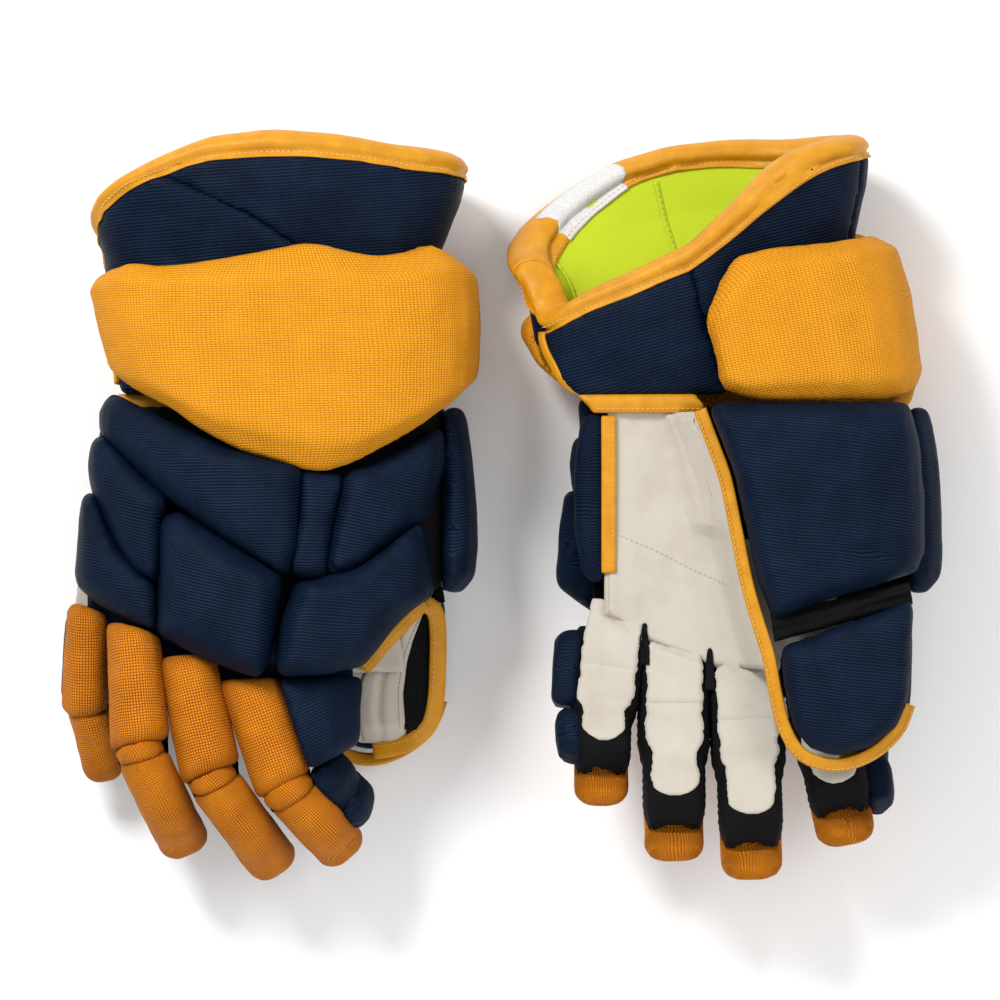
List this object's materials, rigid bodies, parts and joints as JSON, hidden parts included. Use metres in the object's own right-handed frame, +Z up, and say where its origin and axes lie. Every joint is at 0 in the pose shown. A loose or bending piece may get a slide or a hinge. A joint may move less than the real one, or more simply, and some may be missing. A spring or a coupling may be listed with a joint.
{
  "type": "pair of ice hockey gloves",
  "caption": "Pair of padded ice hockey gloves with roll-padded backs, leather palms, flared cuffs and flexing fingers and thumbs.",
  "frame": {"origin": "centre of the bottom of the pair's bounding box, on the surface the gloves lie on", "axes": "+Z up; +Y from the fingertips to the cuffs; +X from the right-hand glove (palm down) to the left-hand glove (palm up)"},
  "size_m": [0.4223, 0.3579, 0.11],
  "materials": {
    "navy_fabric": "ribbed nylon pad cover",
    "gold_weave": "coarse basket weave",
    "orange_weave": "basket weave",
    "gold_binding": "smooth coated binding tape",
    "cream_leather": "soft palm leather",
    "black_knit": "stretch knit",
    "lime_lining": "brushed lining"
  },
  "bodies": {
    "right_hand": {"right_backhand_rolls": "navy_fabric", "right_knuckle_pads": "navy_fabric", "right_ulnar_rolls": "navy_fabric", "right_backhand_base": "black_knit", "right_palm": "cream_leather", "right_palm_binding": "gold_binding"},
    "right_cuff": {"right_wrist_roll": "gold_weave", "right_cuff_roll": "navy_fabric", "right_cuff_palm_panel": "navy_fabric", "right_cuff_liner": "lime_lining", "right_cuff_binding": "gold_binding"},
    "right_thumb": {"right_thumb_pad": "navy_fabric"},
    "right_thumb_tip": {"right_thumb_tip_pad": "navy_fabric", "right_thumb_sleeve": "cream_leather"},
    "right_pinky_base": {"right_pinky_knuckle_roll": "orange_weave", "right_pinky_knuckle_stall": "black_knit"},
    "right_pinky_tip": {"right_pinky_tip_roll": "orange_weave", "right_pinky_tip_stall": "black_knit"},
    "right_ring_base": {"right_ring_knuckle_roll": "orange_weave", "right_ring_knuckle_stall": "black_knit"},
    "right_ring_tip": {"right_ring_tip_roll": "orange_weave", "right_ring_tip_stall": "black_knit"},
    "right_middle_base": {"right_middle_knuckle_roll": "orange_weave", "right_middle_knuckle_stall": "black_knit"},
    "right_middle_tip": {"right_middle_tip_roll": "orange_weave", "right_middle_tip_stall": "black_knit"},
    "right_index_base": {"right_index_knuckle_roll": "orange_weave", "right_index_knuckle_stall": "black_knit"},
    "right_index_tip": {"right_index_tip_roll": "orange_weave", "right_index_tip_stall": "black_knit"},
    "left_hand": {"left_backhand_rolls": "navy_fabric", "left_knuckle_pads": "navy_fabric", "left_ulnar_rolls": "navy_fabric", "left_backhand_base": "black_knit", "left_palm": "cream_leather", "left_palm_binding": "gold_binding"},
    "left_cuff": {"left_wrist_roll": "gold_weave", "left_cuff_roll": "navy_fabric", "left_cuff_palm_panel": "navy_fabric", "left_cuff_liner": "lime_lining", "left_cuff_binding": "gold_binding"},
    "left_thumb": {"left_thumb_pad": "navy_fabric"},
    "left_thumb_tip": {"left_thumb_tip_pad": "navy_fabric", "left_thumb_sleeve": "cream_leather"},
    "left_pinky_base": {"left_pinky_knuckle_roll": "orange_weave", "left_pinky_knuckle_stall": "black_knit"},
    "left_pinky_tip": {"left_pinky_tip_roll": "orange_weave", "left_pinky_tip_stall": "black_knit"},
    "left_ring_base": {"left_ring_knuckle_roll": "orange_weave", "left_ring_knuckle_stall": "black_knit"},
    "left_ring_tip": {"left_ring_tip_roll": "orange_weave", "left_ring_tip_stall": "black_knit"},
    "left_middle_base": {"left_middle_knuckle_roll": "orange_weave", "left_middle_knuckle_stall": "black_knit"},
    "left_middle_tip": {"left_middle_tip_roll": "orange_weave", "left_middle_tip_stall": "black_knit"},
    "left_index_base": {"left_index_knuckle_roll": "orange_weave", "left_index_knuckle_stall": "black_knit"},
    "left_index_tip": {"left_index_tip_roll": "orange_weave", "left_index_tip_stall": "black_knit"}
  },
  "joints": [
    {"name": "right_cuff_fold", "type": "hinge", "parent": "right_hand", "child": "right_cuff", "pos_m": [-0.1089, 0.0511, 0], "axis": [-1, 0, 0], "range_deg": [0, 20], "stiffness_Nm_per_rad": 1},
    {"name": "right_thumb_swing", "type": "hinge", "parent": "right_hand", "child": "right_thumb", "pos_m": [-0.0189, 0.0011, 0.034], "axis": [0, -1, 0], "range_deg": [0, 25], "stiffness_Nm_per_rad": 0.5},
    {"name": "right_thumb_tip_bend", "type": "hinge", "parent": "right_thumb", "child": "right_thumb_tip", "pos_m": [-0.0579, -0.04865, 0], "axis": [0.9448, 0.3276, 0], "range_deg": [0, 15], "stiffness_Nm_per_rad": 0.3},
    {"name": "right_pinky_knuckle_flex", "type": "hinge", "parent": "right_hand", "child": "right_pinky_base", "pos_m": [-0.1969, -0.0469, 0.024], "axis": [0.9988, -0.0487, 0], "range_deg": [0, 40], "stiffness_Nm_per_rad": 0.35},
    {"name": "right_pinky_tip_flex", "type": "hinge", "parent": "right_pinky_base", "child": "right_pinky_tip", "pos_m": [-0.1989, -0.0879, 0.012], "axis": [0.9796, 0.2009, 0], "range_deg": [0, 45], "stiffness_Nm_per_rad": 0.2},
    {"name": "right_ring_knuckle_flex", "type": "hinge", "parent": "right_hand", "child": "right_ring_base", "pos_m": [-0.1744, -0.0609, 0.041], "axis": [0.998, 0.0629, 0], "range_deg": [0, 35], "stiffness_Nm_per_rad": 0.35},
    {"name": "right_ring_tip_flex", "type": "hinge", "parent": "right_ring_base", "child": "right_ring_tip", "pos_m": [-0.1709, -0.1164, 0.048], "axis": [0.9171, 0.3987, 0], "range_deg": [0, 45], "stiffness_Nm_per_rad": 0.2},
    {"name": "right_middle_knuckle_flex", "type": "hinge", "parent": "right_hand", "child": "right_middle_base", "pos_m": [-0.1489, -0.0729, 0.041], "axis": [0.9778, 0.2095, 0], "range_deg": [0, 40], "stiffness_Nm_per_rad": 0.35},
    {"name": "right_middle_tip_flex", "type": "hinge", "parent": "right_middle_base", "child": "right_middle_tip", "pos_m": [-0.1369, -0.1289, 0.046], "axis": [0.8283, 0.5603, 0], "range_deg": [0, 45], "stiffness_Nm_per_rad": 0.2},
    {"name": "right_index_knuckle_flex", "type": "hinge", "parent": "right_hand", "child": "right_index_base", "pos_m": [-0.1189, -0.0819, 0.042], "axis": [0.9487, 0.3162, 0], "range_deg": [0, 20], "stiffness_Nm_per_rad": 0.35},
    {"name": "right_index_tip_flex", "type": "hinge", "parent": "right_index_base", "child": "right_index_tip", "pos_m": [-0.1019, -0.1329, 0.044], "axis": [0.7546, 0.6562, 0], "range_deg": [0, 40], "stiffness_Nm_per_rad": 0.2},
    {"name": "left_glove_lift_away", "type": "slide", "parent": "right_hand", "child": "left_hand", "axis": [1, 0, 0], "range_m": [0, 0.15]},
    {"name": "left_cuff_fold", "type": "hinge", "parent": "left_hand", "child": "left_cuff", "pos_m": [0.11254, 0.05109, 0.11], "axis": [1, 0, 0], "range_deg": [0, 20], "stiffness_Nm_per_rad": 1},
    {"name": "left_thumb_swing", "type": "hinge", "parent": "left_hand", "child": "left_thumb", "pos_m": [0.2041, 0.0011, 0.076], "axis": [0, 1, 0], "range_deg": [0, 25], "stiffness_Nm_per_rad": 0.5},
    {"name": "left_thumb_tip_bend", "type": "hinge", "parent": "left_thumb", "child": "left_thumb_tip", "pos_m": [0.1651, -0.04865, 0.11], "axis": [-0.9448, -0.3276, 0], "range_deg": [0, 15], "stiffness_Nm_per_rad": 0.3},
    {"name": "left_pinky_knuckle_flex", "type": "hinge", "parent": "left_hand", "child": "left_pinky_base", "pos_m": [0.05544, -0.0569, 0.072], "axis": [-0.9898, 0.1427, 0], "range_deg": [0, 40], "stiffness_Nm_per_rad": 0.35},
    {"name": "left_pinky_tip_flex", "type": "hinge", "parent": "left_pinky_base", "child": "left_pinky_tip", "pos_m": [0.0501, -0.0939, 0.077], "axis": [-0.9996, 0.027, 0], "range_deg": [0, 45], "stiffness_Nm_per_rad": 0.2},
    {"name": "left_ring_knuckle_flex", "type": "hinge", "parent": "left_hand", "child": "left_ring_base", "pos_m": [0.0841, -0.0729, 0.072], "axis": [-1, 0, 0], "range_deg": [0, 40], "stiffness_Nm_per_rad": 0.35},
    {"name": "left_ring_tip_flex", "type": "hinge", "parent": "left_ring_base", "child": "left_ring_tip", "pos_m": [0.0841, -0.1139, 0.077], "axis": [-1, 0, 0], "range_deg": [0, 45], "stiffness_Nm_per_rad": 0.2},
    {"name": "left_middle_knuckle_flex", "type": "hinge", "parent": "left_hand", "child": "left_middle_base", "pos_m": [0.1181, -0.0809, 0.072], "axis": [-0.9988, -0.0499, 0], "range_deg": [0, 40], "stiffness_Nm_per_rad": 0.35},
    {"name": "left_middle_tip_flex", "type": "hinge", "parent": "left_middle_base", "child": "left_middle_tip", "pos_m": [0.1201, -0.1209, 0.077], "axis": [-0.9998, -0.0208, 0], "range_deg": [0, 45], "stiffness_Nm_per_rad": 0.2},
    {"name": "left_index_knuckle_flex", "type": "hinge", "parent": "left_hand", "child": "left_index_base", "pos_m": [0.1541, -0.0799, 0.066], "axis": [-0.9871, -0.1601, 0], "range_deg": [0, 16], "stiffness_Nm_per_rad": 0.35},
    {"name": "left_index_tip_flex", "type": "hinge", "parent": "left_index_base", "child": "left_index_tip", "pos_m": [0.1601, -0.1169, 0.064], "axis": [-0.9856, -0.169, 0], "range_deg": [0, 35], "stiffness_Nm_per_rad": 0.2}
  ]
}
